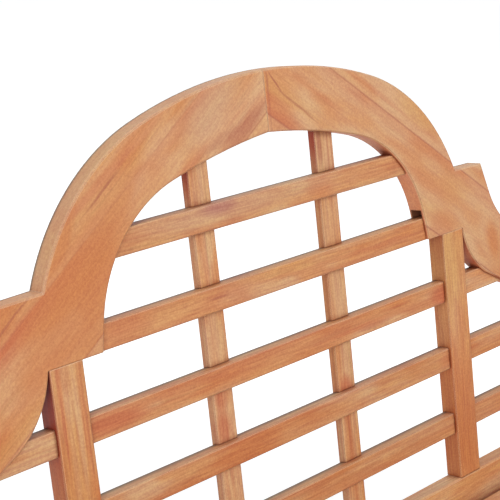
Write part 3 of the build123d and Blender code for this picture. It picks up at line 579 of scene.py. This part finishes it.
def board_turn(along, across):
    """Turn that carries world directions to a board's own: along, across, through."""
    through = along.cross(across)
    return Matrix((along, across, through)).to_euler("XYZ")


def board_place(t, along, across, shift):
    """Coordinates in the board's own directions, shifted to its place in the log."""
    turn = t.node("ShaderNodeMapping", vector_type="POINT")
    turn.inputs["Rotation"].default_value = board_turn(along, across)
    turn.inputs["Location"].default_value = shift
    t.join(t.node("ShaderNodeTexCoord").outputs["Object"], turn.inputs["Vector"])
    return turn.outputs[0]


def cut_from(t, place, settings):
    """The group of the wood, cut at the place and with the settings."""
    cut = t.node("ShaderNodeGroup")
    cut.node_tree = teak_group
    t.join(place, cut.inputs["Place"])
    for name, value in settings.items():
        t.fill(cut.inputs[name], value)
    return cut


def add_stains_and_painted_light(t, colour, slope, facing, back, top_sheen, under_shade_tint, side_stain_and_shade):
    """Painted sheen on tops, painted shade along the back, redder painted shade on undersides,
    stain and painted shade on side faces.
    """
    place = t.node("ShaderNodeTexCoord").outputs["Object"]
    # Painted sheen: faces that point up turn paler and greyer
    colour = t.tint(colour, t.fade(slope, *top_sheen_slopes), top_sheen, top_sheen_teak)
    # Painted shade: faces that point up grow darker and bluer towards the back
    if back:
        back_plane, back_shade_width = back
        depth = t.measure("DOT_PRODUCT", place, through_the_back)
        full_back_shade = back_plane - full_back_shade_share * back_shade_width
        behind = t.fade(depth, back_plane - back_shade_width, full_back_shade)
        colour = t.tint(colour, behind, t.fade(slope, *back_shade_slopes), back_edge_shade, "MULTIPLY")
    # Painted shade: faces that point down, and not to the front or back, turn redder
    if under_shade_tint:
        frontal = t.measure("DOT_PRODUCT", facing, through_the_back)
        edgewise = t.fade(t.math("ABSOLUTE", frontal), *edgewise_turns)
        below = t.times(t.fade(slope, *under_shade_slopes), edgewise)
        colour = t.tint(colour, below, under_shade_tint, under_shade_red)
    # Painted shade with a red stain: side faces darker, most of all high up under the crest
    if side_stain_and_shade:
        strength, *heights = side_stain_and_shade
        under_crest = t.fade(t.parts(place)[2], *heights)
        sideways = t.fade(t.math("ABSOLUTE", t.parts(facing)[0]), *sideways_turns)
        stain_and_shade = t.total(least_side_stain_and_shade, (under_crest, extra_shade_under_crest))
        colour = t.tint(colour, t.times(sideways, stain_and_shade), strength, side_oil_and_shade, "MULTIPLY")
    return colour


def finish_wood(
    t, cut, colour, back=None, top_sheen=0.25, under_shade_tint=0.0, side_stain_and_shade=None, light_side=edge_light_side
):
    """Stains and painted light, flecks, fibres, painted highlights and shade on edges, painted
    shade in corners, fine relief, the shader.
    """
    facing = t.node("ShaderNodeTexCoord").outputs["Normal"]
    slope = t.parts(facing)[2]
    colour = add_stains_and_painted_light(t, colour, slope, facing, back, top_sheen, under_shade_tint, side_stain_and_shade)
    fleck = t.noise(t.node("ShaderNodeTexCoord").outputs["Object"], "fleck")
    colour = t.shade(colour, t.ramp(fleck, fleck_tints))
    colour = t.shade(colour, cut.outputs["Fibres"])

    bevel = t.node("ShaderNodeBevel", samples=bevel_samples)
    bevel.inputs["Radius"].default_value = edge_radius
    soft = bevel.outputs[0]
    hard = t.node("ShaderNodeNewGeometry").outputs["Normal"]
    edge = t.fade(t.measure("DOT_PRODUCT", soft, hard), *edge_turns)
    # Painted highlight on edges turned to the lit side, painted shade on those turned away
    leaning = t.measure("DOT_PRODUCT", t.vector("SUBTRACT", soft, hard), light_side)
    edge_highlight = t.times(edge, t.fade(leaning, *edge_highlight_leans))
    colour = t.tint(colour, edge_highlight, edge_highlight_strength, edge_highlight_teak)
    edge_shade = t.times(edge, t.fade(leaning, *edge_shade_leans))
    colour = t.tint(colour, edge_shade, edge_shade_strength, edge_shade_tint, "MULTIPLY")
    # Painted shade: darker in corners and between parts, where less light reaches
    for reach, shade_tints in corner_shades:
        corner = t.node("ShaderNodeAmbientOcclusion", samples=corner_samples)
        corner.inputs["Distance"].default_value = reach
        colour = t.shade(colour, t.ramp(corner.outputs["AO"], shade_tints))

    relief = t.node("ShaderNodeBump")
    relief.inputs["Strength"].default_value = relief_strength
    relief.inputs["Distance"].default_value = relief_depth
    t.join(cut.outputs["Height"], relief.inputs["Height"])
    t.join(soft, relief.inputs["Normal"])
    shader = t.node("ShaderNodeBsdfPrincipled")
    shader.inputs["Specular IOR Level"].default_value = wood_gloss
    t.join(colour, shader.inputs["Base Color"])
    t.join(cut.outputs["Roughness"], shader.inputs["Roughness"])
    t.join(relief.outputs[0], shader.inputs["Normal"])
    out = t.node("ShaderNodeOutputMaterial")
    t.join(shader.outputs[0], out.inputs["Surface"])


def add_marks(t, name, colour, flat, origin, along, across):
    """Soft ovals of another colour, where the piece's marks are."""
    for out, up, length, width, lean, other, strength in wood_marks.get(name, ()):
        point = across_bench * (side_of(name) * out) + up_the_back * up
        centre = (origin[0] + point.dot(along), origin[1] + point.dot(across))
        oval = t.spot(flat, centre, (length, width), radians(lean))
        colour = t.tint(colour, t.mask(oval, 0.0, mark_softness), strength, other)
    return colour


def wood(name, along, across, streaks=0.6, spread=1.0, ring_width=0.0058):
    """Material of one board of teak."""
    draw = random.Random(name)
    lean = draw.choice((-1, 1)) * draw.uniform(*grain_leans)
    along = (along + along.cross(across) * lean).normalized()
    through = along.cross(across)
    shift = [draw.uniform(*log_places) for _ in range(3)]
    low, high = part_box(name)
    middle = (low + high) / 2
    pith_across = shift[1] + middle.dot(across) + draw.uniform(*pith_sideways)
    pith_offset = draw.choice((-1, 1)) * draw.uniform(*pith_depths)
    settings = {
        "Pith across": pith_across,
        "Pith deep": shift[2] + middle.dot(through) + pith_offset,
        "Ring width": ring_width * draw.uniform(*ring_width_factors),
        "Streaks": streaks * draw.uniform(*streak_factors),
        "Spread": spread,
        "Grain": 1.0,
    }
    own_looks = (draw.uniform(*brightnesses), draw.uniform(*warmths))
    brightness, settings["Warmth"] = board_looks.get(name, own_looks)

    material, t = new_material(name + "_teak")
    place = board_place(t, along, across, shift)
    cut = cut_from(t, place, settings)
    colour = t.shade(cut.outputs["Colour"], (brightness, brightness, brightness, 1))
    flat = t.vector("MULTIPLY", place, (1.0, 1.0, 0.0))
    colour = add_marks(t, name, colour, flat, shift, along, across)
    back = slat_back if name.startswith(back_slats) else None
    stained_and_shaded_piece = "upright" if "upright" in name else name
    finish_wood(t, cut, colour, back, side_stain_and_shade=side_stains_and_shades.get(stained_and_shaded_piece))
    return material


def crest_wood(name):
    """Material of one half of the crest: boards glued side by side, grain falling outwards."""
    material, t = new_material(name + "_teak")
    outwards = across_bench * side_of(name)
    down_grain = outwards * cos(crest_grain_angle) - up_the_back * sin(crest_grain_angle)
    across = outwards * sin(crest_grain_angle) + up_the_back * cos(crest_grain_angle)
    along = (down_grain + down_grain.cross(across) * crest_grain_lean).normalized()
    place = board_place(t, along, across, (0.0, 0.0, 0.0))
    place_along, place_across, _ = t.parts(place)

    # Each board above a joint is cut from elsewhere in the log
    joints = [
        out * sin(crest_grain_angle) + up * cos(crest_grain_angle)
        for out, up, *_ in crest_joints[name]
    ]
    heights = [t.math("SUBTRACT", place_across, joint) for joint in joints]
    boards = t.math("ADD", *[t.math("GREATER_THAN", height, 0.0) for height in heights])
    moved = t.node("ShaderNodeCombineXYZ")
    log_place = random.Random(name).uniform(*crest_log_places)
    t.join(t.times(boards, log_place), moved.inputs[0])
    t.join(t.times(boards, crest_log_step), moved.inputs[1])
    low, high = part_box(name)
    middle = (low + high) / 2
    warmth, streaks, light_side = crest_looks[name]
    settings = {
        "Pith across": t.total(joints[0] - crest_pith_drop, (boards, crest_log_step)),
        "Pith deep": middle.dot(along.cross(across)) - crest_pith_depth,
        "Ring width": crest_ring_width,
        "Streaks": streaks,
        "Warmth": warmth,
        "Spread": crest_spread,
        "Grain": crest_grain,
    }
    cut = cut_from(t, t.vector("ADD", place, moved.outputs[0]), settings)

    # Marks, with wavy rims
    wave = t.centred(t.noise(place, "crest_wave"))
    flat = t.node("ShaderNodeCombineXYZ")
    t.join(place_along, flat.inputs[0])
    t.join(t.total(place_across, (wave, crest_wave_reach)), flat.inputs[1])
    colour = cut.outputs["Colour"]
    colour = add_marks(t, name, colour, flat.outputs[0], (0.0, 0.0), along, across)

    for above, (_, _, *looks) in zip(heights, crest_joints[name]):
        line, red_below, highlight_above, light_below = looks
        upper = t.math("GREATER_THAN", above, 0.0)
        lower = t.math("SUBTRACT", 1.0, upper)
        heart = t.times(t.fade(above, *joint_red_heights), lower)
        colour = t.tint(colour, heart, red_below, red_teak)
        # Painted highlight: a lighter band just above the joint, along its lip
        lip_highlight = t.times(t.fade(above, *joint_highlight_heights), upper)
        colour = t.tint(colour, lip_highlight, highlight_above, pale_teak)
        colour = t.tint(colour, lower, light_below, pale_teak)
        glue = t.fade(t.math("ABSOLUTE", above), *joint_line_heights)
        colour = t.tint(colour, glue, line, knot_teak)
    finish_wood(t, cut, colour, crest_back, crest_top_sheen, crest_under_shade_tint, light_side=light_side)
    return material


def steel():
    """Brushed stainless steel of the screws."""
    material, t = new_material("screw_steel")
    scratch = t.noise(t.node("ShaderNodeTexCoord").outputs["Object"], "scratch")
    shader = t.node("ShaderNodeBsdfPrincipled")
    shader.inputs["Metallic"].default_value = 1.0
    roughness = t.total(steel_roughness, (scratch, scratch_roughness))
    t.join(t.ramp(scratch, steel_colours), shader.inputs["Base Color"])
    t.join(roughness, shader.inputs["Roughness"])
    out = t.node("ShaderNodeOutputMaterial")
    t.join(shader.outputs[0], out.inputs["Surface"])
    return material


def paint(name, material):
    """Give the whole piece one material."""
    slots = nodes[name].data.materials
    slots.clear()
    slots.append(material)
    for polygon in nodes[name].data.polygons:
        polygon.material_index = 0


for name in sorted(nodes):
    if name in crest_looks:
        paint(name, crest_wood(name))
    elif name == "seat_screws":
        paint(name, steel())
    else:
        along, across, settings = next(
            how for starts, *how in cuts if name.startswith(starts)
        )
        paint(name, wood(name, along, across, **settings))


def camera():
    data = bpy.data.cameras.new("camera")
    data.lens = camera_lens
    data.sensor_width = camera_sensor
    data.clip_end = camera_reach
    held = bpy.data.objects.new("camera", data)
    held.location = camera_place
    held.rotation_euler = [radians(angle) for angle in camera_turn]
    bpy.context.scene.collection.objects.link(held)
    bpy.context.scene.camera = held


def softbox(name, place, size, power, colour):
    """A large soft lamp that points at the middle of the bench."""
    lamp = bpy.data.lights.new(name, "AREA")
    lamp.shape = "SQUARE"
    lamp.size = size
    lamp.energy = power
    lamp.color = colour
    held = bpy.data.objects.new(name, lamp)
    held.location = place
    held.rotation_euler = (bench_middle - Vector(place)).to_track_quat("-Z", "Y").to_euler()
    bpy.context.scene.collection.objects.link(held)


def seen_as_background(t):
    """1 for rays from the camera and from gloss, which see a plain white background."""
    path = t.node("ShaderNodeLightPath").outputs
    return t.math("MAXIMUM", path["Is Camera Ray"], path["Is Glossy Ray"])


def floor():
    """A pale floor that keeps the bench's shadow."""
    material, t = new_material("floor_white")
    place = t.node("ShaderNodeTexCoord").outputs["Object"]
    matt = t.node("ShaderNodeBsdfDiffuse")
    t.join(t.ramp(t.noise(place, "mottle"), floor_greys), matt.inputs["Color"])
    away = t.fade(t.measure("LENGTH", place), *floor_glow_distances)
    glow = t.node("ShaderNodeEmission")
    glow.inputs["Color"].default_value = white
    strength = t.total(floor_glow, (away, floor_extra_glow))
    t.join(t.times(seen_as_background(t), strength), glow.inputs["Strength"])
    both = t.node("ShaderNodeAddShader")
    t.join(matt.outputs[0], both.inputs[0])
    t.join(glow.outputs[0], both.inputs[1])
    out = t.node("ShaderNodeOutputMaterial")
    t.join(both.outputs[0], out.inputs["Surface"])

    mesh = bpy.data.meshes.new("floor")
    corners = [
        (x * floor_half_width, y * floor_half_width, floor_top)
        for x, y in ((-1, -1), (1, -1), (1, 1), (-1, 1))
    ]
    mesh.from_pydata(corners, [], [(0, 1, 2, 3)])
    mesh.materials.append(material)
    plane = bpy.data.objects.new("floor", mesh)
    bpy.context.scene.collection.objects.link(plane)


def studio_world():
    """Soft light from all round, seen as plain white."""
    world = bpy.data.worlds.new("studio")
    bpy.context.scene.world = world
    world.use_nodes = True
    t = Tree(world.node_tree)
    choose = t.node("ShaderNodeMixShader")
    t.join(seen_as_background(t), choose.inputs[0])
    skies = ((sky_colour, sky_strength), (white, 1.0))
    for socket, (colour, strength) in zip(choose.inputs[1:], skies):
        sky = t.node("ShaderNodeBackground")
        sky.inputs["Color"].default_value = colour
        sky.inputs["Strength"].default_value = strength
        t.join(sky.outputs[0], socket)
    out = t.node("ShaderNodeOutputWorld")
    t.join(choose.outputs[0], out.inputs["Surface"])


camera()
for name, looks in lamps.items():
    softbox(name, *looks)
floor()
studio_world()

bpy.context.scene.view_settings.view_transform = "Standard"
